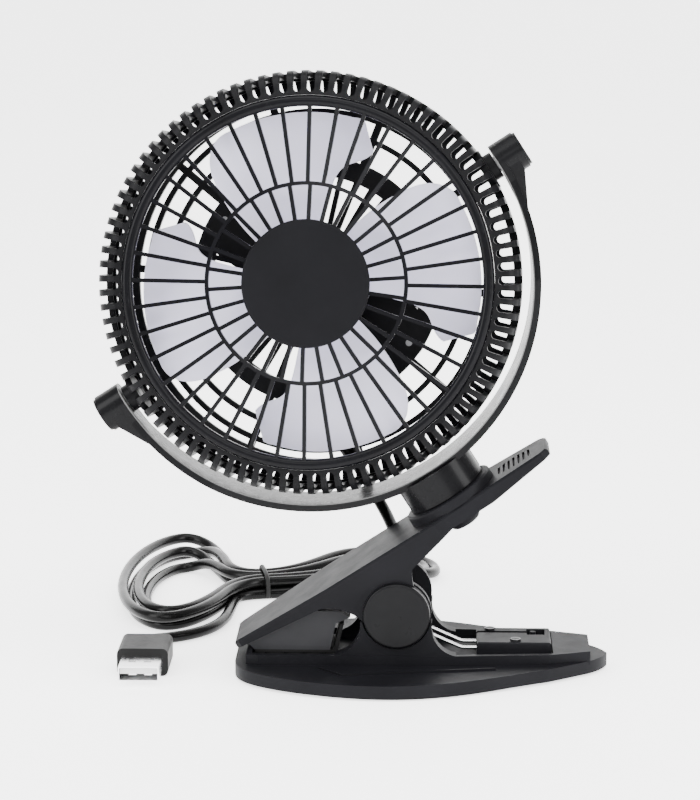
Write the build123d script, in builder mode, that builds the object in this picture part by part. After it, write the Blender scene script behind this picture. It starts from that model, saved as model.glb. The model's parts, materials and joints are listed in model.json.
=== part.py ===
from build123d import *

import os
from math import cos, pi, radians, sin, tan

# Clip-on desk fan with a tilting head on a swivelling yoke. Sizes in millimetres.
#
# The origin is the centre of the clip's foot, on the surface that it stands on. +X runs toward
# the clip's handle, -Y is the front and +Z is up. The head is turned and tilted a little at rest.

os.makedirs("parts", exist_ok=True)

# ---- driving dimensions -------------------------------------------------------------------
clip_angle = 32.8           # slope of the closed lever
swivel_turn = 1.5           # yoke turned about the stem at rest
head_tilt = 8.4             # head leaned back in the yoke at rest
gap = 0.05                  # radial running clearance of the pivots

base_left, base_right = -55.0, 55.4
base_half_width = 36.0
pad_thickness = 0.8
plate_top = 4.6
tray_floor = 5.2
lip_top = 7.6
lip_half_width = 15.4

pivot_x, pivot_z = -7.2, 19.9
pivot_radius = 2.5
cap_radius = 9.85
cap_thickness = 1.7
cheek_inner, cheek_middle, cheek_outer = 10.9, 13.1, 15.4
disc_radius = 9.9           # end of the lever's cheek, round the pivot

lever_tip, lever_end = -46.0, 63.0
lever_top = 17.6            # height of the lever's top face over the pivot, square to it
lever_skin = 2.2
swivel_u = 30.7             # stem, along the lever from the pivot
collar_height = 3.0
stem_radius, shaft_radius = 12.1, 3.2

head_height = 94.6          # head centre over the pivot, square to the lever
yoke_outer, yoke_inner, yoke_half_width = 66.7, 64.5, 8.5
boss_start, boss_end, boss_radius = 64.4, 72.2, 5.7
tilt_pin_radius = 2.5

grille_radius = 50.8        # inside of the front ring
ring_radius = 54.0          # outside of the front ring
rim_radius = 61.4
badge_radius = 18.5
inner_ring_radius = 28.8
outer_spokes, inner_spokes, rim_slots = 40, 30, 90
rear_ring_radii = (50.4, 44.5)
rear_spokes, rear_ribs, rear_phase = 10, 40, 35.6
rear_disc_radius = 37.2
housing_angle = 114.0       # long direction of the rear housing
blade_count, blade_tip, hub_radius = 4, 49.6, 17.0
motor_radius = 12.0
motor_shaft_radius = 1.0

cord_diameter = 3.5
cord_level = cord_diameter / 2

# ---- planes of the moving groups ----------------------------------------------------------
lever_dir = Vector(cos(radians(clip_angle)), 0, sin(radians(clip_angle)))
lever_up = Vector(-sin(radians(clip_angle)), 0, cos(radians(clip_angle)))
pivot = Vector(pivot_x, 0, pivot_z)
pivot_side = Plane(origin=pivot, x_dir=(1, 0, 0), z_dir=(0, -1, 0))
lever_side = Plane(origin=pivot, x_dir=lever_dir, z_dir=(0, -1, 0))
lever_plan = Plane(origin=pivot, x_dir=lever_dir, z_dir=lever_up)
stem_foot = pivot + lever_dir * swivel_u
tilt_axis = lever_dir * cos(radians(swivel_turn)) + Vector(0, sin(radians(swivel_turn)), 0)
swivel = Plane(origin=stem_foot, x_dir=tilt_axis, z_dir=lever_up)
head_centre = stem_foot + lever_up * head_height
yoke_front = Plane(origin=head_centre, x_dir=swivel.x_dir, z_dir=swivel.y_dir * -1)
head = Plane(
    origin=head_centre,
    x_dir=swivel.x_dir,
    z_dir=swivel.y_dir * -cos(radians(head_tilt)) + lever_up * sin(radians(head_tilt)),
)
stem_axis = Axis(stem_foot, lever_up)
head_axis = Axis(head_centre, head.z_dir)
head_section = Plane(origin=head_centre, x_dir=head.x_dir, z_dir=head.y_dir * -1)


def finish(builder, name):
    """Label a finished piece and write it."""
    builder.part.label = name
    export_step(builder.part, f"parts/{name}.step")


def polar(radius, angle):
    """A point of the head's face, from its radius and its angle in degrees."""
    return (radius * cos(radians(angle)), radius * sin(radians(angle)))


def rod_plane(plane, side, reach):
    """A plane square to another plane's X axis, on one side of it and facing outward."""
    return Plane(origin=plane.origin + plane.x_dir * (side * reach), z_dir=plane.x_dir * side)


def base_outline(inset):
    """The clip's foot in plan: a blunt jaw end and a long drawn-out tail."""
    jaw_corner = (base_left + inset, 10.0 - inset)
    tail_shoulder = (49.0 - inset, 9.6 - inset)
    side = [
        jaw_corner,
        (-46.0 + inset, 26.0 - inset),
        (-17.0, base_half_width - inset),
        (18.0, 28.6 - inset),
        (35.0 - inset, 19.4 - inset),
        tail_shoulder,
    ]
    with BuildSketch() as outline:
        with BuildLine():
            Line((base_left + inset, 0), jaw_corner)
            Spline(side, tangents=[(0, 1), (0.8, -0.6)])
            ThreePointArc(tail_shoulder, (53.0 - inset, 5.2 - inset / 2), (base_right - inset, 0))
            mirror(about=Plane.XZ)
        make_face()
    return outline.sketch


def cheek_flare():
    """The foot of a cheek, seen from the front with the pivot as its origin."""
    left_foot, left_curve, left_neck = (-18.0, lip_level), (-12.9, -9.3), (-10.7, -2.2)
    right_neck, right_curve, right_foot = (10.5, -2.2), (12.4, -9.4), (17.5, lip_level)
    with BuildSketch() as flare:
        with BuildLine():
            ThreePointArc(left_foot, left_curve, left_neck)
            Line(left_neck, right_neck)
            ThreePointArc(right_neck, right_curve, right_foot)
            Polyline(right_foot, (17.5, flare_foot), (-18.0, flare_foot), left_foot)
        make_face()
        Circle(disc_radius + 0.4, mode=Mode.SUBTRACT)
    return flare.sketch


# ==== base =================================================================================
with BuildPart() as base_foot_pad:
    with BuildSketch(Plane.XY):
        add(base_outline(2.0))
    extrude(amount=pad_thickness)
finish(base_foot_pad, "base_foot_pad")

tray_outline = [(-51.5, 0), (-51.5, 15.0), (-48.0, 16.0), (11.0, lip_half_width), (38.0, 13.2),
                (50.0, 9.0), (50.0, 0)]
tray_inside = [(-49.9, 0), (-49.9, 13.8), (-47.0, 14.2), (11.0, 13.7), (39.0, 11.4), (39.0, 0)]
flare_foot = plate_top - pivot_z - 1.0
lip_level = lip_top - pivot_z
crease = [(-29.7, 18.8), (-22.8, 26.0), (21.8, 18.6)]
end_block = [(39.0, 0), (39.0, 7.8), (47.5, 7.4), (51.0, 3.5), (51.0, 0)]
end_block_top = 8.4

with BuildPart() as base_body:
    with BuildSketch(Plane.XY.offset(pad_thickness)):
        add(base_outline(0))
    extrude(amount=plate_top - pad_thickness)
    with BuildSketch(Plane.XY.offset(plate_top - 1.0)):
        with BuildLine():
            Polyline(*tray_outline)
            mirror(about=Plane.XZ)
        make_face()
    extrude(amount=lip_top - plate_top + 1.0)
    with BuildSketch(Plane.XY.offset(tray_floor)):
        with BuildLine():
            Polyline(*tray_inside)
            mirror(about=Plane.XZ)
        make_face()
    extrude(amount=lip_top, mode=Mode.SUBTRACT)
    # raised block at the tail, with a sloped end
    with BuildSketch(Plane.XY.offset(plate_top)):
        with BuildLine():
            Polyline(*end_block)
            mirror(about=Plane.XZ)
        make_face()
    extrude(amount=end_block_top - plate_top, taper=12)
    # creases on the plate
    with BuildSketch(Plane.XY.offset(plate_top)):
        for facing in (-1, 1):
            with BuildLine() as crease_line:
                Polyline(*[(x, facing * y) for x, y in crease])
            trace(crease_line.line, line_width=1.0)
    extrude(amount=0.6)
    # each cheek: a flare flush with the tray, and an eye inside the lever's cheek
    for outer_level, inner_level, eye_level in (
        (cheek_outer, cheek_inner, cheek_middle),
        (-cheek_outer, -cheek_inner, -cheek_middle),
    ):
        with BuildSketch(pivot_side.offset(outer_level)):
            add(cheek_flare())
        extrude(amount=inner_level - outer_level)
        with BuildSketch(pivot_side.offset(eye_level)):
            Circle(disc_radius + 0.4)
            Circle(pivot_radius, mode=Mode.SUBTRACT)
        extrude(amount=inner_level - eye_level)
finish(base_body, "base_body")

jaw_floor_pad = 1.0
with BuildPart() as lower_jaw_pad:
    with BuildSketch(Plane.XY.offset(tray_floor)):
        with Locations((-37.5, 0)):
            RectangleRounded(24.0, 22.0, 2.0)
        with GridLocations(5.6, 0, 4, 1):
            with Locations((-37.5, 0)):
                Rectangle(1.2, 18.0, mode=Mode.SUBTRACT)
    extrude(amount=jaw_floor_pad)
finish(lower_jaw_pad, "lower_jaw_pad")

retainer_left, retainer_right, retainer_half, retainer_top = 16.5, 38.5, 8.2, 9.8
leg_spread, leg_level, wire_radius = 3.5, 6.9, 0.55
with BuildPart() as spring_retainer:
    with BuildSketch(Plane.XY.offset(tray_floor)):
        with Locations(((retainer_left + retainer_right) / 2, 0)):
            Rectangle(retainer_right - retainer_left, 2 * retainer_half)
    extrude(amount=retainer_top - tray_floor)
    chamfer(spring_retainer.edges().group_by(Axis.Z)[-1], 0.4)
    # groove of the rear leg, its pocket, and the tunnel of the front leg
    with BuildSketch(Plane.XY.offset(tray_floor + 0.8)):
        with Locations((24.0, leg_spread)):
            Rectangle(16.0, 1.8)
        with Locations((34.2, leg_spread)):
            Rectangle(5.4, 5.6)
    extrude(amount=retainer_top, mode=Mode.SUBTRACT)
    with BuildSketch(Plane.YZ.offset(retainer_left)):
        with Locations((-leg_spread, leg_level)):
            Circle(wire_radius + 0.2)
    extrude(amount=12.0, mode=Mode.SUBTRACT)
    with BuildSketch(Plane.XY.offset(tray_floor + 0.4)):
        with Locations((33.4, leg_spread + 1.4)):
            Circle(0.9)
    extrude(amount=retainer_top - tray_floor - 0.6)
finish(spring_retainer, "spring_retainer")

with BuildPart() as retainer_screws:
    with BuildSketch(Plane.XY.offset(tray_floor - 2.6)):
        with Locations((28.0, -5.6), (20.5, 5.9)):
            Circle(0.9)
    extrude(amount=retainer_top - tray_floor + 2.4)
    with BuildSketch(Plane.XY.offset(retainer_top)):
        with Locations((28.0, -5.6), (20.5, 5.9)):
            Circle(1.6)
            Rectangle(2.0, 0.5, mode=Mode.SUBTRACT)
    extrude(amount=0.6)
    with BuildSketch(Plane.XY.offset(retainer_top - 0.25)):
        with Locations((28.0, -5.6), (20.5, 5.9)):
            Circle(1.6)
    extrude(amount=0.25)
finish(retainer_screws, "retainer_screws")

cap_seat = cheek_outer + 0.2
with BuildPart() as pivot_pin:
    with BuildSketch(pivot_side.offset(cap_seat)):
        Circle(pivot_radius)
    extrude(amount=-2 * cap_seat)
finish(pivot_pin, "pivot_pin")

for side_name, facing in (("front", 1), ("rear", -1)):
    cap_plane = Plane(origin=pivot - Vector(0, facing * cap_seat, 0), z_dir=(0, -facing, 0))
    with BuildPart() as pivot_cap:
        with BuildSketch(cap_plane):
            Circle(cap_radius)
        extrude(amount=cap_thickness)
        outer_face = pivot_cap.faces().sort_by(Axis.Y)[0 if facing > 0 else -1]
        fillet(outer_face.edges(), 0.8)
    finish(pivot_cap, f"pivot_cap_{side_name}")

# double torsion spring: a coil each side of the middle, on the pivot pin's sleeve
coil_radius, coil_wall, coil_length = 5.4, 0.7, 5.4
upper_leg_end = lever_plan.from_local_coords((24.0, 0, lever_top - lever_skin - wire_radius - 0.5))
start_angle = -72.0         # where the lower leg leaves the coil, seen from the front
end_angle = 137.0           # and the upper leg
leg_starts = (19.5, 30.5)   # ends of the front and the rear lower leg
with BuildPart() as torsion_spring:
    for facing in (-1, 1):
        leg_y = facing * leg_spread
        coil_end_y = facing * (leg_spread + coil_length)
        start_x, start_z = polar(coil_radius, start_angle)
        end_x, end_z = polar(coil_radius, end_angle)
        coil_start = Vector(pivot_x + start_x, leg_y, pivot_z + start_z)
        coil_end = Vector(pivot_x + end_x, coil_end_y, pivot_z + end_z)
        # the close coil, as a sleeve of touching turns
        coil_face = (pivot_x, leg_y - facing * wire_radius, pivot_z)
        with BuildSketch(Plane(origin=coil_face, z_dir=(0, facing, 0))):
            Circle(coil_radius + coil_wall)
            Circle(coil_radius - coil_wall, mode=Mode.SUBTRACT)
        extrude(amount=coil_length + 2 * wire_radius)
        # lower leg, bent down into the retainer
        with BuildLine() as lower_wire:
            FilletPolyline(
                coil_start,
                (12.0, leg_y, leg_level),
                (leg_starts[0 if facing < 0 else 1], leg_y, leg_level),
                radius=2.0,
            )
        with BuildSketch(Plane(origin=lower_wire.line @ 0, z_dir=lower_wire.line % 0)):
            Circle(wire_radius)
        sweep(path=lower_wire.line)
        # upper leg, straight up to the underside of the lever
        upper_tip = Vector(upper_leg_end.X, coil_end_y, upper_leg_end.Z)
        with BuildSketch(Plane(origin=coil_end, z_dir=upper_tip - coil_end)):
            Circle(wire_radius)
        extrude(amount=(upper_tip - coil_end).length)
finish(torsion_spring, "torsion_spring")

# ==== clip lever ===========================================================================
lever_plan_half = [(lever_tip, 0), (lever_tip, 9.5), (lever_tip + 1.5, 11.0), (-14.0, cheek_outer),
                   (24.0, cheek_outer), (lever_end - 2.0, 9.8), (lever_end, 7.8), (lever_end, 0)]
lever_hollow_half = [(lever_tip + 2.0, 0), (lever_tip + 2.0, 8.9), (-14.0, cheek_middle),
                     (24.0, cheek_middle), (lever_end - 2.6, 7.8), (lever_end - 2.6, 0)]
under_skin = lever_top - lever_skin
grip_u, grip_grooves = 52.0, 7

with BuildPart() as lever_body:
    with BuildSketch(lever_side.offset(cheek_outer)):
        with BuildLine():
            Polyline((-18.1, 13.4), (lever_tip, lever_top - 2.1), (lever_tip, lever_top),
                     (lever_end, lever_top), (lever_end, lever_top - 2.2), (42.0, 13.0),
                     (28.0, 13.2), (11.4, 9.2))
            ThreePointArc((11.4, 9.2), (8.9, 4.4), (8.6, -2.0))
            Line((8.6, -2.0), (-9.2, -2.0))
            ThreePointArc((-9.2, -2.0), (-11.4, 8.2), (-18.1, 13.4))
        make_face()
        Circle(disc_radius)
    extrude(amount=-2 * cheek_outer)
    with BuildSketch(lever_plan.offset(-20.0)):
        with BuildLine():
            Polyline(*lever_plan_half)
            mirror(about=Plane.XZ)
        make_face()
    extrude(amount=60.0, mode=Mode.INTERSECT)
    with BuildSketch(lever_plan.offset(under_skin)):
        with BuildLine():
            Polyline(*lever_hollow_half)
            mirror(about=Plane.XZ)
        make_face()
    extrude(amount=-40.0, mode=Mode.SUBTRACT)
    with BuildSketch(lever_side.offset(cheek_outer + 1.0)):
        Circle(pivot_radius + gap)
    extrude(amount=-2 * cheek_outer - 2.0, mode=Mode.SUBTRACT)
    with BuildSketch(lever_plan.offset(under_skin - 1.0)):
        with Locations((swivel_u, 0)):
            Circle(shaft_radius + gap)
    extrude(amount=10.0, mode=Mode.SUBTRACT)
    chamfer(lever_body.faces().sort_by(stem_axis)[-1].edges().filter_by(GeomType.LINE), 0.6)
    # finger grip: short grooves inside an oval
    with BuildSketch(lever_plan.offset(lever_top - 0.7)):
        with Locations((grip_u, 0)):
            with GridLocations(1.7, 0, grip_grooves, 1):
                Rectangle(0.8, 12.0)
            Ellipse(7.2, 5.6, mode=Mode.INTERSECT)
    extrude(amount=3.0, mode=Mode.SUBTRACT)
finish(lever_body, "lever_body")

with BuildPart() as swivel_collar:
    with BuildSketch(swivel.offset(lever_top)):
        Circle(stem_radius + 2.0)
        Circle(shaft_radius + gap, mode=Mode.SUBTRACT)
    extrude(amount=collar_height)
    fillet(swivel_collar.faces().sort_by(stem_axis)[-1].edges().sort_by(SortBy.LENGTH)[-1], 0.8)
finish(swivel_collar, "swivel_collar")

jaw_half = 8.4
block_left, block_right, block_floor, block_crown = -49.5, -27.0, 7.2, 19.0
with BuildPart() as upper_jaw_block:
    with BuildSketch(Plane.XZ.offset(jaw_half)):
        with BuildLine():
            Polyline((block_left, block_floor), (block_right, block_floor), (-25.2, 15.3),
                     (-21.0, 17.2), (-23.6, block_crown), (-36.9, block_crown), (-52.6, 8.9),
                     (-50.4, 8.3), close=True)
        make_face()
    extrude(amount=-2 * jaw_half)
finish(upper_jaw_block, "upper_jaw_block")

with BuildPart() as upper_jaw_pad:
    with BuildSketch(Plane.XZ.offset(jaw_half)):
        with BuildLine():
            Polyline((-49.3, 6.35), (-24.9, 6.35), (-22.9, 15.0), (-24.0, 15.2), (-25.9, block_floor),
                     (-49.3, block_floor), close=True)
        make_face()
    extrude(amount=-2 * jaw_half)
finish(upper_jaw_pad, "upper_jaw_pad")

# ==== yoke =================================================================================
stem_bottom = lever_top + collar_height + 0.2      # heights over the pivot, square to the lever
stem_upper = head_height - yoke_inner - 0.7
shaft_end = 11.0
nut_bottom, nut_top, nut_radius = 9.2, 14.2, 5.0
washer_radius, washer_top = 6.5, 15.2
wedge = [(64.5, 0), (63.4, -12.1), (65.0, -15.0), (70.2, -5.0), (70.2, 0)]
yoke_side = Plane(origin=head_centre, x_dir=yoke_front.z_dir, z_dir=yoke_front.x_dir * -1)

with BuildPart() as yoke:
    # the bow
    with BuildSketch(yoke_front.offset(yoke_half_width)):
        Circle(yoke_outer)
        Circle(yoke_inner, mode=Mode.SUBTRACT)
        with Locations((0, yoke_outer)):
            Rectangle(3 * yoke_outer, 2 * yoke_outer, mode=Mode.SUBTRACT)
    extrude(amount=-2 * yoke_half_width)
    # its edges draw in toward the end bosses
    with BuildSketch(yoke_side):
        for front in (-1, 1):
            with BuildLine():
                Polyline(
                    (front * 20.0, 5.0), (front * boss_radius, 5.0), (front * boss_radius, -6.0),
                    (front * yoke_half_width, -34.0), (front * 20.0, -34.0), close=True,
                )
            make_face()
    extrude(amount=2 * yoke_outer, both=True, mode=Mode.SUBTRACT)
    # a wedge under each boss
    with BuildSketch(yoke_front.offset(boss_radius - 0.4)):
        for side in (-1, 1):
            with BuildLine():
                Polyline(*[(side * x, y) for x, y in wedge], close=True)
            make_face()
    extrude(amount=-2 * (boss_radius - 0.4))
    for side in (-1, 1):
        with BuildSketch(rod_plane(yoke_front, side, boss_start)):
            Circle(boss_radius)
        extrude(amount=boss_end - boss_start)
    # stem, stop post behind it and swivel shaft
    with BuildSketch(swivel.offset(stem_bottom)):
        Circle(stem_radius)
        with Locations((10.2, 7.0)):
            Circle(1.6)
    extrude(amount=stem_upper - stem_bottom)
    with BuildSketch(swivel.offset(shaft_end)):
        Circle(shaft_radius)
    extrude(amount=stem_bottom - shaft_end)
    for side in (-1, 1):
        with BuildSketch(rod_plane(yoke_front, side, boss_start - 1.0)):
            Circle(tilt_pin_radius + gap)
        extrude(amount=boss_end, mode=Mode.SUBTRACT)
finish(yoke, "yoke")

with BuildPart() as swivel_washer:
    with BuildSketch(swivel.offset(washer_top)):
        Circle(washer_radius)
        Circle(shaft_radius, mode=Mode.SUBTRACT)
    extrude(amount=nut_top - washer_top)
finish(swivel_washer, "swivel_washer")

with BuildPart() as swivel_nut:
    with BuildSketch(swivel.offset(nut_bottom)):
        Circle(nut_radius)
    extrude(amount=nut_top - nut_bottom)
    fillet(swivel_nut.faces().sort_by(stem_axis)[0].edges(), 2.0)
    with BuildSketch(swivel.offset(shaft_end)):
        Circle(shaft_radius)
    extrude(amount=nut_top, mode=Mode.SUBTRACT)
finish(swivel_nut, "swivel_nut")

with BuildPart() as yoke_caps:
    for side in (-1, 1):
        with BuildSketch(rod_plane(yoke_front, side, boss_end)):
            Circle(boss_radius - 0.5)
        extrude(amount=0.8)
finish(yoke_caps, "yoke_caps")

# ==== head: guards =========================================================================
grille_hub_front, grille_rim_front, grille_depth = 16.0, 12.5, 1.6
spoke_width, slot_width = 1.15, 2.3
outer_phase, inner_phase, slot_phase = 2.6, 7.1, 0.4
slot_start = 56.0
skirt_inner = rim_radius - 1.8  # inside of the rim's straight skirt
rim_rear = -8.0

with BuildPart() as front_grille:
    # spokes, inner ring and hub disc, cut out of a shallow dome
    with BuildSketch(head.offset(5.0)):
        Circle(inner_ring_radius + 0.55)
        Circle(inner_ring_radius - 0.55, mode=Mode.SUBTRACT)
        Circle(badge_radius - 0.3)
        with PolarLocations((badge_radius + inner_ring_radius) / 2 - 0.3, inner_spokes, inner_phase):
            Rectangle(inner_ring_radius - badge_radius + 0.6, spoke_width)
        with PolarLocations((inner_ring_radius + grille_radius) / 2 + 0.3, outer_spokes, outer_phase):
            Rectangle(grille_radius - inner_ring_radius + 1.0, spoke_width)
    extrude(amount=20.0)
    with BuildSketch(head_section):
        Polygon(
            (0, grille_hub_front), (badge_radius, grille_hub_front), (grille_radius + 1.2, grille_rim_front),
            (grille_radius + 1.2, grille_rim_front - grille_depth),
            (badge_radius, grille_hub_front - grille_depth), (0, grille_hub_front - grille_depth),
            align=None,
        )
    revolve(axis=head_axis, mode=Mode.INTERSECT)
    with BuildSketch(head_section):
        with Locations(((grille_radius + ring_radius) / 2, grille_rim_front - 1.2)):
            RectangleRounded(ring_radius - grille_radius, 3.6, 1.4)
    revolve(axis=head_axis)
finish(front_grille, "front_grille")

with BuildPart() as badge_disc:
    with BuildSketch(head.offset(grille_hub_front)):
        Circle(badge_radius)
    extrude(amount=1.3)
    fillet(badge_disc.faces().sort_by(head_axis)[-1].edges(), 0.6)
finish(badge_disc, "badge_disc")

with BuildPart() as guard_rim:
    with BuildSketch(head_section):
        with BuildLine():
            Polyline((55.6, 9.4), (ring_radius + 0.1, 9.4), (ring_radius + 0.1, 12.2), (56.0, 12.7))
            ThreePointArc((56.0, 12.7), (59.7, 10.9), (rim_radius, 6.6))
            Polyline((rim_radius, 6.6), (rim_radius, rim_rear), (skirt_inner, rim_rear), (skirt_inner, 6.4))
            ThreePointArc((skirt_inner, 6.4), (58.4, 9.4), (55.6, 10.9))
            Line((55.6, 10.9), (55.6, 9.4))
        make_face()
    revolve(axis=head_axis)
    with BuildSketch(head.offset(rim_rear + 2.0)):
        with PolarLocations(slot_start + 8.0, rim_slots, slot_phase):
            SlotOverall(18.0, slot_width)
    extrude(amount=30.0, mode=Mode.SUBTRACT)
    # bosses of the tilt pins
    for side in (-1, 1):
        with BuildSketch(rod_plane(head, side, skirt_inner + 0.1)):
            Circle(6.2)
        extrude(amount=1.9)
        with BuildSketch(rod_plane(head, side, skirt_inner + 0.1)):
            Circle(4.1)
        extrude(amount=4.3)
        with BuildSketch(rod_plane(head, side, skirt_inner - 1.5)):
            Circle(tilt_pin_radius)
        extrude(amount=10.0, mode=Mode.SUBTRACT)
finish(guard_rim, "guard_rim")

with BuildPart() as tilt_pins:
    for side in (-1, 1):
        with BuildSketch(rod_plane(head, side, skirt_inner + 0.2)):
            Circle(tilt_pin_radius)
        extrude(amount=boss_end - 0.3 - skirt_inner)
finish(tilt_pins, "tilt_pins")

rear_front, rear_back = -16.4, -18.2
open_radius = 53.0          # where the slotted wall ends and the open back begins
bar_length, bar_width = 2 * rear_disc_radius, 20.0
arm_angle, arm_length, arm_width = 236.6, 40.0, 8.6
socket_inner, socket_outer = motor_radius, motor_radius + 1.7
arm_centre = polar(arm_length / 2, arm_angle)

with BuildPart() as rear_guard:
    with BuildSketch(head.offset(rim_rear - 14.0)):
        Circle(rim_radius + 1.0)
        with PolarLocations(slot_start + 8.0, rim_slots, slot_phase):
            SlotOverall(18.0, slot_width, mode=Mode.SUBTRACT)
        Circle(open_radius, mode=Mode.SUBTRACT)
        for radius in rear_ring_radii:
            Circle(radius + 0.8)
            Circle(radius - 0.8, mode=Mode.SUBTRACT)
        with PolarLocations((rear_disc_radius + open_radius) / 2, rear_spokes, rear_phase):
            Rectangle(open_radius + 2.0 - rear_disc_radius, 2.2)
        Circle(rear_disc_radius)
        Circle(rear_disc_radius - 6.0, mode=Mode.SUBTRACT)
        with PolarLocations(23.0, rear_ribs, rear_phase):
            Rectangle(20.0, 1.5)
        Circle(socket_outer + 1.5)
        with Locations(Location((0, 0, 0), (0, 0, housing_angle))):
            SlotOverall(bar_length, bar_width)
        with Locations(Location((*arm_centre, 0), (0, 0, arm_angle))):
            Rectangle(arm_length, arm_width)
    extrude(amount=16.0)
    with BuildSketch(head_section):
        with BuildLine():
            Polyline((0, rear_front), (rear_disc_radius, rear_front), (52.4, -15.4))
            ThreePointArc((52.4, -15.4), (57.0, -13.6), (skirt_inner, rim_rear - 0.1))
            Line((skirt_inner, rim_rear - 0.1), (rim_radius, rim_rear - 0.1))
            Line((rim_radius, rim_rear - 0.1), (rim_radius, rim_rear - 1.2))
            ThreePointArc((rim_radius, rim_rear - 1.2), (58.4, -14.9), (open_radius, -17.2))
            Polyline((open_radius, -17.2), (rear_disc_radius, rear_back), (0, rear_back), (0, rear_front))
        make_face()
    revolve(axis=head_axis, mode=Mode.INTERSECT)
    # closed band that joins the ribs at the parting line
    with BuildSketch(head.offset(rim_rear - 1.7)):
        Circle(rim_radius - 0.4)
        Circle(rim_radius - 2.4, mode=Mode.SUBTRACT)
    extrude(amount=1.6)
    # socket for the motor
    with BuildSketch(head.offset(rear_front - 0.2)):
        Circle(socket_outer)
        Circle(socket_inner, mode=Mode.SUBTRACT)
    extrude(amount=8.2)
    with BuildSketch(head.offset(rear_back - 1.0)):
        for turn in (0, 180):
            with Locations(polar(8.0, housing_angle + turn), polar(33.0, housing_angle + turn)):
                Circle(1.0)
    extrude(amount=4.0, mode=Mode.SUBTRACT)
finish(rear_guard, "rear_guard")

housing_depth, housing_wall = 7.6, 1.6
screw_post_radius = 2.3
relief_x, relief_radius, relief_tip_radius, relief_y, relief_tip_y = -19.8, 3.0, 2.1, -31.0, -50.0
relief_z = rear_back - 4.0
relief_root = Plane(origin=head.from_local_coords((relief_x, relief_y, relief_z)), z_dir=head.y_dir * -1)
switch_reach = 21.0
switch_length, switch_width = 15.0, 10.0
with BuildPart() as motor_housing:
    with BuildSketch(head.offset(rear_back)):
        with Locations(Location((0, 0, 0), (0, 0, housing_angle))):
            SlotOverall(bar_length, bar_width)
        with Locations(Location((*arm_centre, 0), (0, 0, arm_angle))):
            Rectangle(arm_length, arm_width)
        Circle(socket_outer)
    extrude(amount=-housing_depth)
    fillet(motor_housing.faces().sort_by(head_axis)[0].outer_wire().edges(), 1.0)
    with BuildSketch(head.offset(rear_back)):
        with Locations(Location((0, 0, 0), (0, 0, housing_angle))):
            SlotOverall(bar_length - 2 * housing_wall, bar_width - 2 * housing_wall)
        with Locations(Location((*arm_centre, 0), (0, 0, arm_angle))):
            Rectangle(arm_length - 2 * housing_wall, arm_width - 2 * housing_wall)
    extrude(amount=housing_wall - housing_depth, mode=Mode.SUBTRACT)
    for turn in (0, 180):
        with BuildSketch(head.offset(rear_back)):
            with Locations(polar(33.0, housing_angle + turn)):
                Circle(screw_post_radius)
        extrude(amount=-housing_depth + 0.5)
        with BuildSketch(head.offset(rear_back)):
            with Locations(polar(33.0, housing_angle + turn)):
                Circle(1.0)
        extrude(amount=-housing_depth - 1.0, mode=Mode.SUBTRACT)
    with BuildSketch(head.offset(rear_back - housing_depth - 1.0)):
        with Locations(Location((*polar(switch_reach, housing_angle), 0), (0, 0, housing_angle))):
            Rectangle(switch_length, switch_width)
    extrude(amount=4.0, mode=Mode.SUBTRACT)
    with BuildSketch(relief_root):
        Circle(relief_radius)
    extrude(amount=12.0, mode=Mode.SUBTRACT)
finish(motor_housing, "motor_housing")

with BuildPart() as housing_screws:
    with BuildSketch(head.offset(rear_back - housing_depth)):
        with Locations(polar(33.0, housing_angle), polar(33.0, housing_angle + 180)):
            Circle(1.9)
    extrude(amount=-1.1)
    with BuildSketch(head.offset(rear_back - housing_depth - 1.1)):
        with Locations(polar(33.0, housing_angle), polar(33.0, housing_angle + 180)):
            Rectangle(2.6, 0.6)
            Rectangle(0.6, 2.6)
    extrude(amount=0.6, mode=Mode.SUBTRACT)
    with BuildSketch(head.offset(rear_back - housing_depth)):
        with Locations(polar(33.0, housing_angle), polar(33.0, housing_angle + 180)):
            Circle(1.0)
    extrude(amount=housing_depth + 1.5)
finish(housing_screws, "housing_screws")

with BuildPart() as motor_screws:
    with BuildSketch(head.offset(rear_back)):
        with Locations(polar(8.0, housing_angle), polar(8.0, housing_angle + 180)):
            Circle(1.8)
    extrude(amount=-1.2)
    with BuildSketch(head.offset(rear_back)):
        with Locations(polar(8.0, housing_angle), polar(8.0, housing_angle + 180)):
            Circle(1.0)
    extrude(amount=rear_front - rear_back)
finish(motor_screws, "motor_screws")

with BuildPart() as circuit_board:
    with BuildSketch(head.offset(rear_back - 4.4)):
        with Locations(Location((*polar(16.0, housing_angle + 180), 0), (0, 0, housing_angle))):
            Rectangle(24.0, 13.0)
    extrude(amount=1.2)
    with BuildSketch(head.offset(rear_back - 3.2)):
        with Locations(Location((*polar(12.0, housing_angle + 180), 0), (0, 0, housing_angle))):
            Rectangle(6.0, 5.0)
        with Locations(polar(22.0, housing_angle + 180)):
            Circle(2.0)
    extrude(amount=1.6)
finish(circuit_board, "circuit_board")

switch_place = Plane(
    origin=head.from_local_coords((*polar(switch_reach, housing_angle), rear_back - housing_depth)),
    x_dir=head.x_dir * cos(radians(housing_angle)) + head.y_dir * sin(radians(housing_angle)),
    z_dir=head.z_dir * -1,
)
with BuildPart() as switch_frame:
    with BuildSketch(switch_place):
        RectangleRounded(switch_length + 2.0, switch_width + 2.0, 1.0)
    extrude(amount=0.9)
    with BuildSketch(switch_place):
        Rectangle(switch_length, switch_width)
    extrude(amount=-5.4)
    with BuildSketch(switch_place.offset(2.0)):
        Rectangle(switch_length - 2.6, switch_width - 3.0)
    extrude(amount=-6.0, mode=Mode.SUBTRACT)
finish(switch_frame, "switch_frame")

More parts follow.
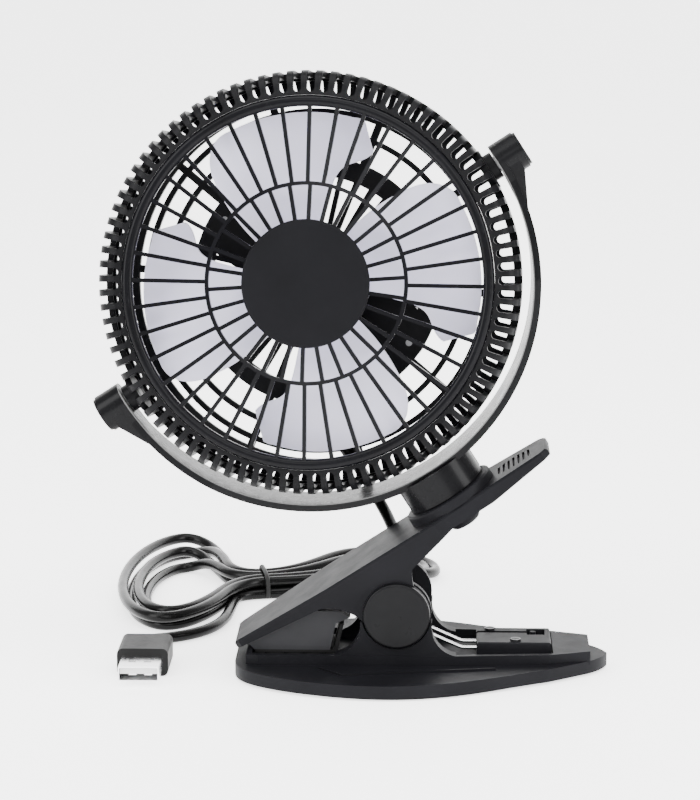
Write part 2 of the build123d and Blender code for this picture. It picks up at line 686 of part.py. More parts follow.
rocker_width = 6.4
rocker_side = Plane(
    origin=switch_place.origin - switch_place.y_dir * (rocker_width / 2),
    x_dir=switch_place.x_dir,
    z_dir=switch_place.y_dir,
)
with BuildPart() as switch_rocker:
    with BuildSketch(rocker_side):
        with BuildLine():
            Polyline((-5.6, 0.6), (-5.2, -2.2), (0, -1.0), (5.2, -0.4), (5.6, 1.0), (0, 2.2), close=True)
        make_face()
    extrude(amount=rocker_width)
finish(switch_rocker, "switch_rocker")

with BuildPart() as strain_relief:
    with BuildSketch(relief_root):
        Circle(relief_radius)
    with BuildSketch(relief_root.offset(relief_y - relief_tip_y)):
        Circle(relief_tip_radius)
    loft()
finish(strain_relief, "strain_relief")

# ==== motor ================================================================================
with BuildPart() as motor_can:
    with BuildSketch(head_section):
        Polygon((3.0, 1.4), (11.0, 1.4), (11.0, rear_front), (motor_radius, rear_front),
                (motor_radius, 2.6), (3.0, 2.6), align=None)
    revolve(axis=head_axis)
finish(motor_can, "motor_can")

with BuildPart() as motor_end_cap:
    with BuildSketch(head_section):
        Polygon((0, rear_front), (11.0, rear_front), (11.0, -14.4), (3.0, -14.4), (3.0, -15.4),
                (0, -15.4), align=None)
    revolve(axis=head_axis)
finish(motor_end_cap, "motor_end_cap")

for name, low, high in (("front_bush", 0.2, 3.2), ("rear_bush", -15.4, -12.6)):
    with BuildPart() as bush:
        with BuildSketch(head.offset(low)):
            Circle(3.0)
            Circle(motor_shaft_radius + 0.03, mode=Mode.SUBTRACT)
        extrude(amount=high - low)
    finish(bush, name)

with BuildPart() as field_magnet:
    with BuildSketch(head.offset(-12.0)):
        Circle(11.0)
        Circle(9.0, mode=Mode.SUBTRACT)
        Rectangle(30.0, 2.0, mode=Mode.SUBTRACT)
    extrude(amount=11.0)
finish(field_magnet, "field_magnet")

# ==== rotor ================================================================================
with BuildPart() as armature:
    with BuildSketch(head.offset(-11.5)):
        Circle(8.5)
        Circle(motor_shaft_radius, mode=Mode.SUBTRACT)
        with PolarLocations(6.6, 3):
            Rectangle(5.0, 1.6, mode=Mode.SUBTRACT)
    extrude(amount=10.0)
finish(armature, "armature")

shaft_front = 8.6
with BuildPart() as motor_shaft:
    with BuildSketch(head.offset(-15.2)):
        Circle(motor_shaft_radius)
    extrude(amount=shaft_front + 15.2)
finish(motor_shaft, "motor_shaft")

# blade outline: radius and angle along the leading edge, the tip and the trailing edge
blade_phase = 47.5
leading_edge = [(16.0, 0.0), (27.0, -1.5), (35.0, -5.5), (39.0, -12.6), (43.0, -14.7), (47.4, -12.0),
                (blade_tip, -4.0)]
trailing_edge = [(blade_tip, 38.0), (47.4, 47.0), (43.0, 51.5), (37.7, 54.5), (29.4, 58.5), (16.0, 64.0)]
blade_middle = 25.0         # angle from the leading root to the middle of the blade
blade_pitch = radians(17.0)
blade_thickness = 1.5
blade_chord, blade_camber = 56.0, 3.0
blade_root = 13.0
hub_front, hub_rear, hub_skin = 10.0, -5.0, 1.8


def make_blade(first):
    """One blade: a cambered sheet set at its pitch, cut to the blade's outline."""
    middle_x, middle_y = polar(1.0, first + blade_middle)
    outward = head.x_dir * middle_x + head.y_dir * middle_y
    along = head.x_dir * -middle_y + head.y_dir * middle_x
    chord_dir = along * cos(blade_pitch) + head.z_dir * sin(blade_pitch)
    half = blade_chord / 2
    with BuildPart() as blade:
        with BuildSketch(Plane(origin=head_centre + outward * blade_root, x_dir=chord_dir, z_dir=outward)):
            with BuildLine():
                ThreePointArc((-half, 0), (0, blade_camber), (half, 0))
                Line((half, 0), (half, -blade_thickness))
                ThreePointArc((half, -blade_thickness), (0, blade_camber - blade_thickness),
                              (-half, -blade_thickness))
                Line((-half, -blade_thickness), (-half, 0))
            make_face()
        extrude(amount=blade_tip)
        with BuildSketch(head.offset(-20.0)):
            with BuildLine():
                Spline([polar(r, first + a) for r, a in leading_edge])
                ThreePointArc(polar(blade_tip, first - 4.0), polar(blade_tip, first + 17.0),
                              polar(blade_tip, first + 38.0))
                Spline([polar(r, first + a) for r, a in trailing_edge])
                Line(polar(16.0, first + 64.0), polar(16.0, first))
            make_face()
        extrude(amount=40.0, mode=Mode.INTERSECT)
    return blade.part


blade_parts = [make_blade(blade_phase + 360.0 / blade_count * index) for index in range(blade_count)]
with BuildPart() as impeller:
    add(blade_parts)
    with BuildSketch(head.offset(hub_rear)):
        Circle(hub_radius)
    extrude(amount=hub_front - hub_rear)
    fillet(impeller.faces().sort_by(head_axis)[-1].edges(), 1.2)
    with BuildSketch(head.offset(hub_rear - 6.0)):
        Circle(hub_radius - hub_skin)
    extrude(amount=hub_front - hub_skin - hub_rear + 6.0, mode=Mode.SUBTRACT)
    with BuildSketch(head.offset(4.0)):
        Circle(3.2)
    extrude(amount=hub_front - 4.5)
    with BuildSketch(head.offset(3.0)):
        Circle(motor_shaft_radius)
    extrude(amount=shaft_front - 3.0, mode=Mode.SUBTRACT)
finish(impeller, "impeller")

# ==== cord and plug ========================================================================
relief_tip = head.from_local_coords((relief_x, relief_tip_y, relief_z))
cord_route = [
    relief_tip,
    relief_tip - head.y_dir * 13.0,
    Vector(-8.6, 20.0, 37.5),
    Vector(-5.6, 28.5, 24.5),
    Vector(-6.6, 38.5, 13.5),
    Vector(-11.5, 49.0, 5.5),
    Vector(-18.5, 58.5, cord_level),
    Vector(-24.0, 69.0, cord_level),
    Vector(-28.0, 79.0, cord_level),
]
lead_route = [
    Vector(-82.3, 9.5, 4.2),
    Vector(-82.2, 15.5, 3.0),
    Vector(-78.5, 21.0, cord_level),
    Vector(-71.0, 25.5, cord_level),
    Vector(-65.0, 33.0, cord_level),
    Vector(-62.0, 43.0, cord_level),
    Vector(-61.2, 53.0, cord_level),
    Vector(-60.9, 62.0, cord_level),
]


def corner_radii(name, route):
    """The largest arc that each corner of a cord's route has room for."""
    radii = []
    for before, corner, after in zip(route, route[1:], route[2:]):
        turn = radians((corner - before).get_angle(after - corner))
        shorter = min((corner - before).length, (after - corner).length)
        radii.append(0.45 * shorter / tan(turn / 2))
    print(name, "radii", [round(radius, 1) for radius in radii])
    return radii


for name, route in (("cord_drop", cord_route), ("cord_lead", lead_route)):
    with BuildPart() as cord_tube:
        with BuildLine() as path:
            FilletPolyline(*route, radius=corner_radii(name, route))
        with BuildSketch(Plane(origin=path.line @ 0, z_dir=path.line % 0)):
            Circle(cord_diameter / 2)
        sweep(path=path.line)
    finish(cord_tube, name)
    tube_length = sum(edge.length for edge in path.edges())
    expected = tube_length * pi * cord_diameter ** 2 / 4
    print(name, "length", round(tube_length, 1), "volume ratio", round(cord_tube.part.volume / expected, 3))

# the hank: a long loop on the left, pinched by the tie, and a round loop behind the clip
hank_height = 7.2
left_centre, left_outer, left_inner = (-80.0, 83.25), (20.2, 57.5), (10.2, 33.0)
left_hole = (-78.2, 73.75)
right_centre, right_outer, right_inner = (-15.0, 104.5), 20.2, 6.2
hank_neck = [(-64.5, 50.0), (-58.0, 69.0), (-43.0, 72.5), (-15.0, 84.3), (-15.0, 104.5), (-29.0, 118.0),
             (-44.0, 93.0), (-59.0, 90.0), (-67.0, 113.0), (-72.0, 104.0), (-63.0, 80.0), (-63.0, 70.0),
             (-71.0, 55.0)]
with BuildPart() as cord_hank:
    with BuildSketch(Plane.XY):
        with Locations(left_centre):
            Ellipse(*left_outer)
        with Locations(right_centre):
            Circle(right_outer)
        with BuildLine():
            Polyline(*hank_neck, close=True)
        make_face()
        with Locations(left_hole):
            Ellipse(*left_inner, mode=Mode.SUBTRACT)
        with Locations(right_centre):
            Circle(right_inner, mode=Mode.SUBTRACT)
    extrude(amount=hank_height)
finish(cord_hank, "cord_hank")

plug_x, plug_front, plug_rear, plug_width, plug_height = -82.3, -13.0, 3.0, 15.2, 8.4
shell_width, shell_height, shell_front, shell_skin = 12.0, 4.5, -25.0, 0.4
shell_inside = (shell_width - 2 * shell_skin, shell_height - 2 * shell_skin)
with BuildPart() as usb_plug_body:
    with BuildSketch(Plane.XZ.offset(-plug_front)):
        with Locations((plug_x, plug_height / 2)):
            RectangleRounded(plug_width, plug_height, 1.8)
    extrude(amount=-(plug_rear - plug_front))
    with BuildSketch(Plane.XZ.offset(-plug_rear)):
        with Locations((plug_x, plug_height / 2)):
            Circle(3.0)
    extrude(amount=-6.5, taper=6)
finish(usb_plug_body, "usb_plug_body")

with BuildPart() as usb_plug_shell:
    with BuildSketch(Plane.XZ.offset(-plug_front)):
        with Locations((plug_x, plug_height / 2)):
            RectangleRounded(shell_width, shell_height, 0.5)
            RectangleRounded(*shell_inside, 0.3, mode=Mode.SUBTRACT)
    extrude(amount=plug_front - shell_front)
    with BuildSketch(Plane.XY):
        with Locations((plug_x - 2.3, shell_front + 5.5), (plug_x + 2.3, shell_front + 5.5)):
            Rectangle(2.2, 2.2)
    extrude(amount=plug_height, mode=Mode.SUBTRACT)
finish(usb_plug_shell, "usb_plug_shell")

with BuildPart() as usb_plug_tongue:
    with BuildSketch(Plane.XZ.offset(-plug_front)):
        with Locations((plug_x, plug_height / 2 + 0.85)):
            Rectangle(shell_inside[0] - 0.2, 1.8)
    extrude(amount=plug_front - shell_front - 0.6)
finish(usb_plug_tongue, "usb_plug_tongue")

tie_turn = 11.0             # the bundle's direction at the tie, from +X
tie_plane = Plane(
    origin=(-51.8, 80.5, hank_height / 2),
    x_dir=(-sin(radians(tie_turn)), cos(radians(tie_turn)), 0),
    z_dir=(cos(radians(tie_turn)), sin(radians(tie_turn)), 0),
)
with BuildPart() as cord_tie:
    with BuildSketch(tie_plane):
        RectangleRounded(20.4, hank_height, 1.5)
        RectangleRounded(18.4, hank_height - 1.6, 1.0, mode=Mode.SUBTRACT)
    extrude(amount=1.6, both=True)
finish(cord_tie, "cord_tie")
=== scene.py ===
import json
from math import cos, pi, radians, sin

import bpy
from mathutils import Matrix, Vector


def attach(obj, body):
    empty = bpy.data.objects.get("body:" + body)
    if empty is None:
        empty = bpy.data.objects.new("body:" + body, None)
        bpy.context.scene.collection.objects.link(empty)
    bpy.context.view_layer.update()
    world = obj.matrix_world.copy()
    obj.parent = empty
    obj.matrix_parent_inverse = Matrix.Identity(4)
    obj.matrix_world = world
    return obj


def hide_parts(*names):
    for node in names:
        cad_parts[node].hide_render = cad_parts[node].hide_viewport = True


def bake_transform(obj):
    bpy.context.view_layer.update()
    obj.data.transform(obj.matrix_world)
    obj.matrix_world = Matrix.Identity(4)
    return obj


# A clip-on desk fan: looks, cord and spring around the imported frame. Everything is in metres.

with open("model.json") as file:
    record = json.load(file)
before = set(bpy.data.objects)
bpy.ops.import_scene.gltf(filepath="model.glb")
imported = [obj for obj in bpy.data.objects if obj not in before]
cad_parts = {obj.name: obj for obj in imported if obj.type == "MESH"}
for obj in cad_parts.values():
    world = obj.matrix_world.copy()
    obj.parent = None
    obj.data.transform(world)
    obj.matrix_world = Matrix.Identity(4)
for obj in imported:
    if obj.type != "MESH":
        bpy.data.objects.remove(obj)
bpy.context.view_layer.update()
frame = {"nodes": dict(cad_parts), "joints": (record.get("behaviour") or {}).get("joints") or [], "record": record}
nodes = frame["nodes"]
joints = {joint["name"]: joint for joint in frame["joints"]}
pivot = Vector(joints["clip_open"]["pos_m"])
lever_up = Vector(joints["yoke_swivel"]["axis"])
head_centre = Vector(joints["head_tilt"]["pos_m"])
tilt_axis = Vector(joints["head_tilt"]["axis"])
head_front = Vector(joints["rotor_spin"]["axis"])
head_up = head_front.cross(tilt_axis)


# ---- camera -------------------------------------------------------------------------------
def make_camera():
    """A long lens in front of the fan, a little above it."""
    target = Vector((-0.0213, 0.0, 0.0811))
    azimuth, elevation = radians(1.8), radians(11.5)
    distance, sensor_width, lens = 0.853, 36.0, 130.5
    back = Vector((sin(azimuth) * cos(elevation), -cos(azimuth) * cos(elevation), sin(elevation)))
    data = bpy.data.cameras.new("camera")
    data.sensor_width = sensor_width
    data.lens = lens
    camera = bpy.data.objects.new("camera", data)
    bpy.context.scene.collection.objects.link(camera)
    camera.location = target + back * distance
    camera.rotation_mode = "QUATERNION"
    camera.rotation_quaternion = (-back).to_track_quat("-Z", "Y")
    bpy.context.scene.camera = camera


make_camera()


# ---- material helpers ---------------------------------------------------------------------
flow_scale, smudge_scale, metal_scale = 55.0, 140.0, 900.0      # sizes of the slow marks


def new_material(name):
    """A material with its shader, and the object-space coordinates that its textures use."""
    material = bpy.data.materials.new(name)
    material.use_nodes = True
    tree = material.node_tree
    shader = tree.nodes["Principled BSDF"]
    coordinates = tree.nodes.new("ShaderNodeTexCoord").outputs["Object"]
    return material, tree, shader, coordinates


def noise(tree, coordinates, scale, detail=4.0, roughness=0.5):
    node = tree.nodes.new("ShaderNodeTexNoise")
    node.inputs["Scale"].default_value = scale
    node.inputs["Detail"].default_value = detail
    node.inputs["Roughness"].default_value = roughness
    tree.links.new(coordinates, node.inputs["Vector"])
    return node.outputs["Fac"]


def ramp(tree, value, stops):
    """A colour ramp: stops are (position, colour or grey)."""
    node = tree.nodes.new("ShaderNodeValToRGB")
    elements = node.color_ramp.elements
    while len(elements) < len(stops):
        elements.new(0.5)
    for element, (position, colour) in zip(elements, stops):
        element.position = position
        grey = not hasattr(colour, "__len__")
        element.color = (colour, colour, colour, 1) if grey else (*colour, 1)
    tree.links.new(value, node.inputs["Fac"])
    return node.outputs["Color"]


def mix(tree, factor, first, second):
    """A colour mix of two sockets by a factor socket."""
    node = tree.nodes.new("ShaderNodeMix")
    node.data_type = "RGBA"
    tree.links.new(factor, node.inputs["Factor"])
    tree.links.new(first, node.inputs[6])
    tree.links.new(second, node.inputs[7])
    return node.outputs[2]


def bump(tree, shader, height, strength, distance):
    node = tree.nodes.new("ShaderNodeBump")
    node.inputs["Strength"].default_value = strength
    node.inputs["Distance"].default_value = distance
    tree.links.new(height, node.inputs["Height"])
    tree.links.new(node.outputs["Normal"], shader.inputs["Normal"])


def moulded(name, low, high, rough, grain=2600.0, grain_depth=0.00004, coat=0.0, specular=0.06):
    """Moulded plastic: a fine grain, slow flow marks in the colour, and smudges in the gloss."""
    material, tree, shader, coordinates = new_material(name)
    flow = noise(tree, coordinates, flow_scale, 6.0)
    tree.links.new(ramp(tree, flow, [(0.3, low), (0.72, high)]), shader.inputs["Base Color"])
    smudges = noise(tree, coordinates, smudge_scale, 8.0, 0.65)
    tree.links.new(ramp(tree, smudges, [(0.3, rough[0]), (0.7, rough[1])]), shader.inputs["Roughness"])
    bump(tree, shader, noise(tree, coordinates, grain, 2.0), 0.35, grain_depth)
    shader.inputs["Specular IOR Level"].default_value = specular
    shader.inputs["Coat Weight"].default_value = coat
    shader.inputs["Coat Roughness"].default_value = 0.12
    return material, tree, shader, coordinates


def metal(name, low, high, rough, stretch):
    """Metal with drawn or rolled marks that run along one axis."""
    material, tree, shader, coordinates = new_material(name)
    mapping = tree.nodes.new("ShaderNodeMapping")
    mapping.inputs["Scale"].default_value = stretch
    tree.links.new(coordinates, mapping.inputs["Vector"])
    marks = noise(tree, mapping.outputs["Vector"], metal_scale, 5.0, 0.6)
    tree.links.new(ramp(tree, marks, [(0.3, low), (0.7, high)]), shader.inputs["Base Color"])
    tree.links.new(ramp(tree, marks, [(0.3, rough[0]), (0.7, rough[1])]), shader.inputs["Roughness"])
    bump(tree, shader, marks, 0.2, 0.00002)
    shader.inputs["Metallic"].default_value = 1.0
    return material


# ---- materials ----------------------------------------------------------------------------
def clip_plastic():
    """Satin charcoal of the base and the lever."""
    return moulded("clip_plastic", (0.0045, 0.0045, 0.0055), (0.0065, 0.0065, 0.0078), (0.44, 0.54))[0]


def jaw_plastic():
    return moulded("jaw_plastic", (0.028, 0.028, 0.03), (0.038, 0.038, 0.041), (0.42, 0.52))[0]


def pad_rubber():
    return moulded("pad_rubber", (0.008, 0.008, 0.008), (0.014, 0.014, 0.014),
                   (0.62, 0.8), 1500.0, 0.0001)[0]


def cap_plastic():
    """The smoother black of the pivot caps and the small covers."""
    return moulded("cap_plastic", (0.003, 0.003, 0.0035), (0.0045, 0.0045, 0.005),
                   (0.26, 0.36), coat=0.05)[0]


def rim_plastic():
    """Satin black of the guard."""
    return moulded("rim_plastic", (0.003, 0.003, 0.0035), (0.005, 0.005, 0.0055), (0.3, 0.42))[0]


def grille_plastic():
    return moulded("grille_plastic", (0.002, 0.002, 0.0025), (0.0035, 0.0035, 0.0045),
                   (0.2, 0.3), coat=0.05)[0]


def badge_plastic():
    return moulded("badge_plastic", (0.0035, 0.0035, 0.0042), (0.0045, 0.0045, 0.0054), (0.48, 0.56),
                   grain=5200.0, specular=0.05)[0]


def blade_plastic():
    """Milky lavender-grey blades that let a little light through."""
    material, _, shader, _ = moulded(
        "blade_plastic", (0.62, 0.605, 0.74), (0.68, 0.665, 0.80),
        (0.4, 0.5), grain=1800.0, grain_depth=0.00003)
    shader.inputs["Subsurface Weight"].default_value = 0.25
    shader.inputs["Subsurface Radius"].default_value = (0.004, 0.004, 0.005)
    shader.inputs["Subsurface Scale"].default_value = 0.6
    return material


def yoke_plastic():
    """Black bow with a painted mid-grey inner face, which lies nearer the head's centre than the rest: a painted
    reflection of the pale surround on the bow's glossy inner face.
    """
    inner_radius, reflection_scale = 0.0648, 60.0
    material, tree, shader, coordinates = moulded(
        "yoke_plastic", (0.003, 0.003, 0.0035), (0.0045, 0.0045, 0.005), (0.22, 0.32), coat=0.05)
    black = shader.inputs["Base Color"].links[0].from_socket
    offset = tree.nodes.new("ShaderNodeVectorMath")
    offset.operation = "SUBTRACT"
    offset.inputs[1].default_value = head_centre
    tree.links.new(coordinates, offset.inputs[0])
    straight_front = lever_up.cross(tilt_axis)
    along = tree.nodes.new("ShaderNodeVectorMath")
    along.operation = "DOT_PRODUCT"
    along.inputs[1].default_value = straight_front
    tree.links.new(offset.outputs[0], along.inputs[0])
    part = tree.nodes.new("ShaderNodeVectorMath")
    part.operation = "SCALE"
    part.inputs[0].default_value = straight_front
    tree.links.new(along.outputs["Value"], part.inputs["Scale"])
    flat = tree.nodes.new("ShaderNodeVectorMath")
    flat.operation = "SUBTRACT"
    tree.links.new(offset.outputs[0], flat.inputs[0])
    tree.links.new(part.outputs[0], flat.inputs[1])
    radius = tree.nodes.new("ShaderNodeVectorMath")
    radius.operation = "LENGTH"
    tree.links.new(flat.outputs[0], radius.inputs[0])
    inner = tree.nodes.new("ShaderNodeMath")
    inner.operation = "LESS_THAN"
    inner.inputs[1].default_value = inner_radius
    tree.links.new(radius.outputs["Value"], inner.inputs[0])
    # painted reflection: the inner face gets a flat mid grey in place of the pale surround mirrored in the black
    # bow
    grey = ramp(tree, noise(tree, coordinates, reflection_scale, 5.0), [(0.3, 0.095), (0.7, 0.105)])
    tree.links.new(mix(tree, inner.outputs[0], black, grey), shader.inputs["Base Color"])
    return material


def cord_sheath():
    """Glossy black PVC with a coarse, shallow grain."""
    return moulded("cord_sheath", (0.002, 0.002, 0.002), (0.003, 0.003, 0.003),
                   (0.2, 0.3), 900.0, 0.00008, specular=0.12)[0]


def plug_plastic():
    return moulded("plug_plastic", (0.007, 0.007, 0.007), (0.013, 0.013, 0.013),
                   (0.38, 0.5), 1600.0, 0.00012)[0]


def plug_metal():
    return metal("plug_metal", (0.72, 0.72, 0.73), (0.85, 0.85, 0.86), (0.14, 0.26), (1.0, 0.12, 1.0))


def plug_insulator():
    return moulded("plug_insulator", (0.5, 0.5, 0.5), (0.62, 0.62, 0.62), (0.35, 0.5))[0]


def screw_steel():
    return metal("screw_steel", (0.16, 0.16, 0.165), (0.24, 0.24, 0.245), (0.3, 0.45), (1.0, 1.0, 1.0))


def black_steel():
    """Black oxide of the retainer's screws."""
    return metal("black_steel", (0.02, 0.02, 0.021), (0.034, 0.034, 0.036), (0.35, 0.5), (1.0, 1.0, 1.0))


def spring_steel():
    return metal("spring_steel", (0.6, 0.6, 0.61), (0.8, 0.8, 0.81), (0.14, 0.26), (1.0, 1.0, 1.0))


def motor_steel():
    return metal("motor_steel", (0.42, 0.42, 0.42), (0.56, 0.56, 0.55), (0.3, 0.5), (0.4, 0.4, 2.0))


def bush_brass():
    return metal("bush_brass", (0.55, 0.4, 0.16), (0.68, 0.52, 0.24), (0.35, 0.55), (1.0, 1.0, 1.0))


def magnet():
    return moulded("magnet", (0.03, 0.03, 0.032), (0.055, 0.054, 0.053), (0.6, 0.8), 700.0, 0.0001)[0]


def board():
    return moulded("board", (0.01, 0.09, 0.035), (0.015, 0.13, 0.05), (0.25, 0.4), 1200.0, 0.00005)[0]


def tie_wire():
    return moulded("tie_wire", (0.012, 0.012, 0.012), (0.02, 0.02, 0.02), (0.4, 0.55), 1500.0, 0.0001)[0]


made = {make.__name__: make() for make in (
    clip_plastic, jaw_plastic, pad_rubber, cap_plastic, rim_plastic, grille_plastic, badge_plastic,
    blade_plastic, yoke_plastic, cord_sheath, plug_plastic, plug_metal, plug_insulator, screw_steel,
    black_steel, spring_steel, motor_steel, bush_brass, magnet, board, tie_wire)}
record_slots = {part["node"]: part["material_slot"] for part in frame["record"]["subparts"]}


def paint_frame():
    """Each CAD node takes the material of its record slot. The spring's wire is spring steel."""
    for name, node in nodes.items():
        material = made.get(record_slots[name], made["spring_steel"])
        node.data.materials.clear()
        node.data.materials.append(material)


paint_frame()


def show(name, data, material, body):
    """Put a new piece in the scene, on a body and with the given material."""
    piece = bpy.data.objects.new(name, data)
    bpy.context.scene.collection.objects.link(piece)
    data.materials.append(made[material])
    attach(piece, body)
    return piece


# ---- cord ---------------------------------------------------------------------------------
cord_diameter = 0.0035
low_layer, high_layer = 0.00178, 0.00525     # centres of the hank's two layers
relief_tip = head_centre + tilt_axis * -0.0198 + head_up * -0.050 + head_front * -0.0222
drop_route = [
    relief_tip,
    relief_tip - head_up * 0.013,
    Vector((-0.0086, 0.0200, 0.0375)),
    Vector((-0.0056, 0.0285, 0.0245)),
    Vector((-0.0066, 0.0385, 0.0135)),
    Vector((-0.0115, 0.0490, 0.0055)),
    Vector((-0.0185, 0.0585, low_layer)),
    Vector((-0.0240, 0.0690, low_layer)),
]
floor_route = [
    Vector((-0.0280, 0.0790, low_layer)),
    Vector((-0.0360, 0.0835, low_layer)),
]
lead_route = [
    Vector((-0.0609, 0.0620, low_layer)),
    Vector((-0.0612, 0.0530, low_layer)),
    Vector((-0.0620, 0.0430, low_layer)),
    Vector((-0.0650, 0.0330, low_layer)),
    Vector((-0.0710, 0.0255, low_layer)),
    Vector((-0.0785, 0.0210, low_layer)),
    Vector((-0.0822, 0.0155, 0.0030)),
    Vector((-0.0823, 0.0085, 0.0042)),
]
tie_centre = Vector((-0.0518, 0.0805, 0.0))
tie_turn = radians(11.0)
tie_reach = 0.0095                           # from the tie to a strand's point on either side
tie_along = Vector((cos(tie_turn), sin(tie_turn), 0))
tie_across = Vector((-sin(tie_turn), cos(tie_turn), 0))
right_centre = Vector((-0.0150, 0.1045, 0.0))
right_radius = 0.0100                        # of the right loop's first turn
left_centre = Vector((-0.0800, 0.0820, 0.0))
left_half_width, left_half_length = 0.0185, 0.0530      # of the left loop's last turn
turns = 4


def through_tie(lane, level, leftward):
    """The two points of a strand each side of the tie, at its lane and height."""
    middle = tie_centre + tie_across * lane + Vector((0, 0, level))
    ends = [middle + tie_along * tie_reach, middle - tie_along * tie_reach]
    return ends if leftward else ends[::-1]


def left_loop(turn, start_level, end_level):
    """The long loop: from its near side round the left to its far side. Later turns lie outside."""
    inset = turns - 1 - turn
    centre = left_centre + Vector((0.0006 * inset, -0.0027 * inset, 0))
    half_width = left_half_width - 0.0022 * inset
    half_length = left_half_length - 0.0066 * inset
    points = []
    for angle in (-45, -90, -130, -168, -205, -240, -272, -308):
        level = start_level if angle > -290 else end_level
        place = (half_width * cos(radians(angle)), half_length * sin(radians(angle)), level)
        points.append(centre + Vector(place))
    return points


def right_loop(turn, start_level):
    """The round loop: from its far side round the right, then over the cord's first stretch."""
    radius = right_radius + cord_diameter * turn
    points = []
    for angle in (125, 80, 35, -10, -55, -95):
        level = start_level if angle > 100 else high_layer if angle < -50 else low_layer
        place = (radius * cos(radians(angle)), radius * sin(radians(angle)), level)
        points.append(right_centre + Vector(place))
    return points


def hank_points():
    """The hank's turns. Their lanes at the tie step outwards, and alternate between two layers."""
    lane_step = cord_diameter / 2
    points = through_tie(0.0, low_layer, True)
    near_level = low_layer
    for turn in range(turns):
        far_level = high_layer if turn % 2 == 0 else low_layer
        lane = (turn + 1) * lane_step
        points += left_loop(turn, near_level, far_level)
        points += through_tie(lane, far_level, False)
        points += right_loop(turn, far_level)
        near_level = far_level
        entry = through_tie(-lane, near_level, True)
        lift = Vector((0, 0, high_layer - points[-1].z)) * 0.5
        points.append(points[-1].lerp(entry[0], 0.55) + lift)
        points += entry
    return points


def nurbs_curve(name, points):
    """An open quadratic NURBS spline with its ends on its first and last points."""
    data = bpy.data.curves.new(name, "CURVE")
    data.dimensions = "3D"
    data.resolution_u = 12
    spline = data.splines.new("NURBS")
    spline.points.add(len(points) - 1)
    for target, point in zip(spline.points, points):
        target.co = (*point, 1.0)
    spline.order_u = 3
    spline.use_endpoint_u = True
    return data


def line_points(points):
    """The points along a route's NURBS spline."""
    data = nurbs_curve("route", points)
    bare = bpy.data.objects.new("route", data)
    mesh = bpy.data.meshes.new_from_object(bare)
    line = [vertex.co.copy() for vertex in mesh.vertices]
    bpy.data.objects.remove(bare)
    bpy.data.curves.remove(data)
    bpy.data.meshes.remove(mesh)
    return line


def tube_mesh(name, line, radius, sides=20):
    """A closed tube along a line, carried without twist."""
    vertices, faces = [], []
    side = (line[1] - line[0]).orthogonal().normalized()
    for index, point in enumerate(line):
        ahead = line[min(index + 1, len(line) - 1)] - line[max(index - 1, 0)]
        ahead.normalize()
        side = (side - ahead * side.dot(ahead)).normalized()
        other = ahead.cross(side)
        for step in range(sides):
            angle = 2 * pi * step / sides
            vertices.append(point + (side * cos(angle) + other * sin(angle)) * radius)
    for ring in range(len(line) - 1):
        for step in range(sides):
            following = (step + 1) % sides
            first, second = ring * sides, (ring + 1) * sides
            faces.append((first + step, first + following, second + following, second + step))
    faces.append(tuple(reversed(range(sides))))
    faces.append(tuple(range((len(line) - 1) * sides, len(line) * sides)))
    mesh = bpy.data.meshes.new(name)
    mesh.from_pydata(vertices, [], faces)
    mesh.polygons.foreach_set("use_smooth", [len(face) == 4 for face in faces])
    return mesh


def length_of(line):
    return sum((after - before).length for before, after in zip(line, line[1:]))


def split_line(line, pieces):
    """A line cut into equal lengths, which share their end points."""
    target, run, cuts = length_of(line) / pieces, 0.0, [0]
    for index in range(1, len(line)):
        run += (line[index] - line[index - 1]).length
        if run >= target * len(cuts) and len(cuts) < pieces:
            cuts.append(index)
    cuts.append(len(line) - 1)
    return [line[start:end + 1] for start, end in zip(cuts, cuts[1:])]


def make_drop():
    """The cord from the strain relief down to the floor, in one stretch for each joint, named after the part past
    that joint.
    """
    end = drop_route[-1].lerp(floor_route[0], 0.5)
    line = line_points(drop_route + [end])
    links = (("head", "yoke"), ("yoke", "clip_lever"), ("clip_lever", "base"))
    stretches = split_line(line, len(links))
    for (first, second), stretch in zip(links, stretches):
        name = f"cord_over_{second}"
        mesh = tube_mesh(name, stretch, cord_diameter / 2)
        piece = bpy.data.objects.new(name, mesh)
        bpy.context.scene.collection.objects.link(piece)
        mesh.materials.append(made["cord_sheath"])
        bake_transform(piece)
        if first == "head":
            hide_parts("cord_drop")
    return end


def make_lead(start):
    """The cord on the floor: into the hank, round its turns, and out to the plug."""
    points = [start] + floor_route + hank_points() + lead_route
    data = nurbs_curve("cord", points)
    data.bevel_depth = cord_diameter / 2
    data.bevel_resolution = 4
    piece = show("cord", data, "cord_sheath", "base")
    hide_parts("cord_hank", "cord_lead")
    length = length_of(line_points(points))


make_lead(make_drop())


# ---- tie ----------------------------------------------------------------------------------
def make_tie():
    """A loop of coated wire drawn tight round the hank."""
    wire = 0.0007
    right_half = [(0.0, wire), (0.0085, wire), (0.0095, 0.0022), (0.0094, 0.0052), (0.0072, 0.0076)]
    left_half = [(-lane, level) for lane, level in reversed(right_half)]
    outline = right_half + [(0.0, 0.0080)] + left_half
    points = [tie_centre + tie_across * lane + Vector((0, 0, level)) for lane, level in outline]
    data = nurbs_curve("tie_ring", points)
    data.bevel_depth = wire
    data.bevel_resolution = 3
    piece = show("tie_ring", data, "tie_wire", "base")
    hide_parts("cord_tie")


make_tie()


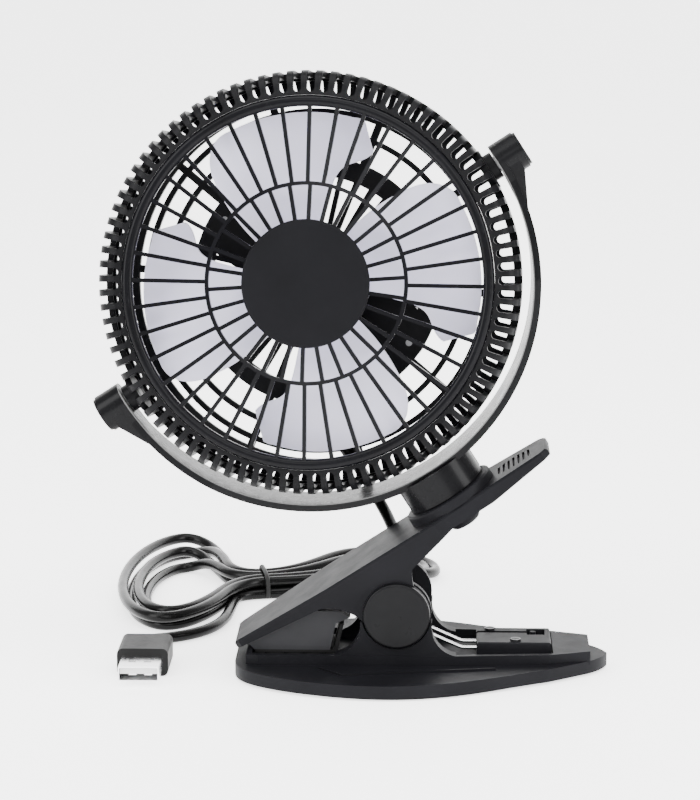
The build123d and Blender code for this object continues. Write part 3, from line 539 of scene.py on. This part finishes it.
# ---- torsion spring -----------------------------------------------------------------------
def make_spring():
    """Two close coils of wire on the pivot pin, with legs to the retainer and to the lever."""
    wire, coil, pitch = 0.00055, 0.0054, 0.00114
    leg_level, leg_spread, leg_rise = 0.0069, 0.0035, 0.0009
    lever_dir = Vector((lever_up.z, 0, -lever_up.x))
    upper_tip = pivot + lever_dir * 0.024 + lever_up * 0.0143
    start_angle, end_angle, whole_turns, steps = -72.0, 137.0, 5, 96
    sweep = (end_angle - start_angle) - 360.0 * whole_turns
    for side, leg_end in ((-1, 0.0195), (1, 0.0305)):
        points = [Vector((place, side * leg_spread, leg_level)) for place in (leg_end, 0.0140, 0.0120)]
        points.append(Vector((0.0100, side * leg_spread, leg_level + leg_rise)))
        for step in range(steps + 1):
            share = step / steps
            angle = radians(start_angle + sweep * share)
            along = side * (leg_spread + pitch * abs(sweep) / 360.0 * share)
            points.append(pivot + Vector((coil * cos(angle), along, coil * sin(angle))))
        points.append(Vector((upper_tip.x, points[-1].y, upper_tip.z)))
        name = "spring_front" if side < 0 else "spring_rear"
        data = nurbs_curve(name, points)
        data.bevel_depth = wire
        data.bevel_resolution = 3
        piece = show(name, data, "spring_steel", "base")
        if side < 0:
            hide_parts("torsion_spring")


make_spring()


# ---- stage --------------------------------------------------------------------------------
def make_floor():
    """A wide pale floor that turns up into a backdrop far behind."""
    half, back, rise, radius, steps = 3.0, 2.2, 3.0, 0.8, 16
    profile = [(-half, 0.0), (back - radius, 0.0)]
    for step in range(1, steps + 1):
        angle = pi / 2 * step / steps
        profile.append((back - radius + radius * sin(angle), radius - radius * cos(angle)))
    profile.append((back, rise))
    vertices = [(x, y, z) for y, z in profile for x in (-half, half)]
    faces = [(2 * i, 2 * i + 1, 2 * i + 3, 2 * i + 2) for i in range(len(profile) - 1)]
    mesh = bpy.data.meshes.new("floor")
    mesh.from_pydata(vertices, [], faces)
    mesh.polygons.foreach_set("use_smooth", [True] * len(faces))
    floor = bpy.data.objects.new("floor", mesh)
    bpy.context.scene.collection.objects.link(floor)
    material, tree, shader, coordinates = new_material("floor")
    paper = ramp(tree, noise(tree, coordinates, 3.0), [(0.3, 0.93), (0.7, 0.95)])
    tree.links.new(paper, shader.inputs["Base Color"])
    shader.inputs["Roughness"].default_value = 0.7
    shader.inputs["Specular IOR Level"].default_value = 0.2
    shader.inputs["Emission Color"].default_value = (1.0, 1.0, 1.0, 1)
    shader.inputs["Emission Strength"].default_value = 2.0
    mesh.materials.append(material)


def area_light(name, place, size, power):
    """A soft box that faces the fan's middle."""
    target = Vector((0.0, 0.0, 0.08))
    data = bpy.data.lights.new(name, "AREA")
    data.shape = "RECTANGLE"
    data.size, data.size_y = size
    data.energy = power
    light = bpy.data.objects.new(name, data)
    bpy.context.scene.collection.objects.link(light)
    light.location = place
    light.rotation_mode = "QUATERNION"
    light.rotation_quaternion = (target - Vector(place)).to_track_quat("-Z", "Y")


def make_lights():
    """A soft box overhead, one each side and in front, and an even pale surround."""
    area_light("top_box", (0.0, -0.25, 1.2), (1.4, 1.0), 24.0)
    area_light("left_box", (-1.0, -0.7, 0.6), (0.7, 1.0), 20.0)
    area_light("right_box", (1.1, -0.5, 0.5), (0.5, 1.0), 17.0)
    area_light("front_box", (0.25, -1.7, 1.0), (1.3, 0.8), 20.0)
    world = bpy.data.worlds.new("world")
    world.use_nodes = True
    surround = world.node_tree.nodes["Background"]
    surround.inputs["Color"].default_value = (1.0, 1.0, 1.0, 1)
    surround.inputs["Strength"].default_value = 1.0
    bpy.context.scene.world = world


make_floor()
make_lights()
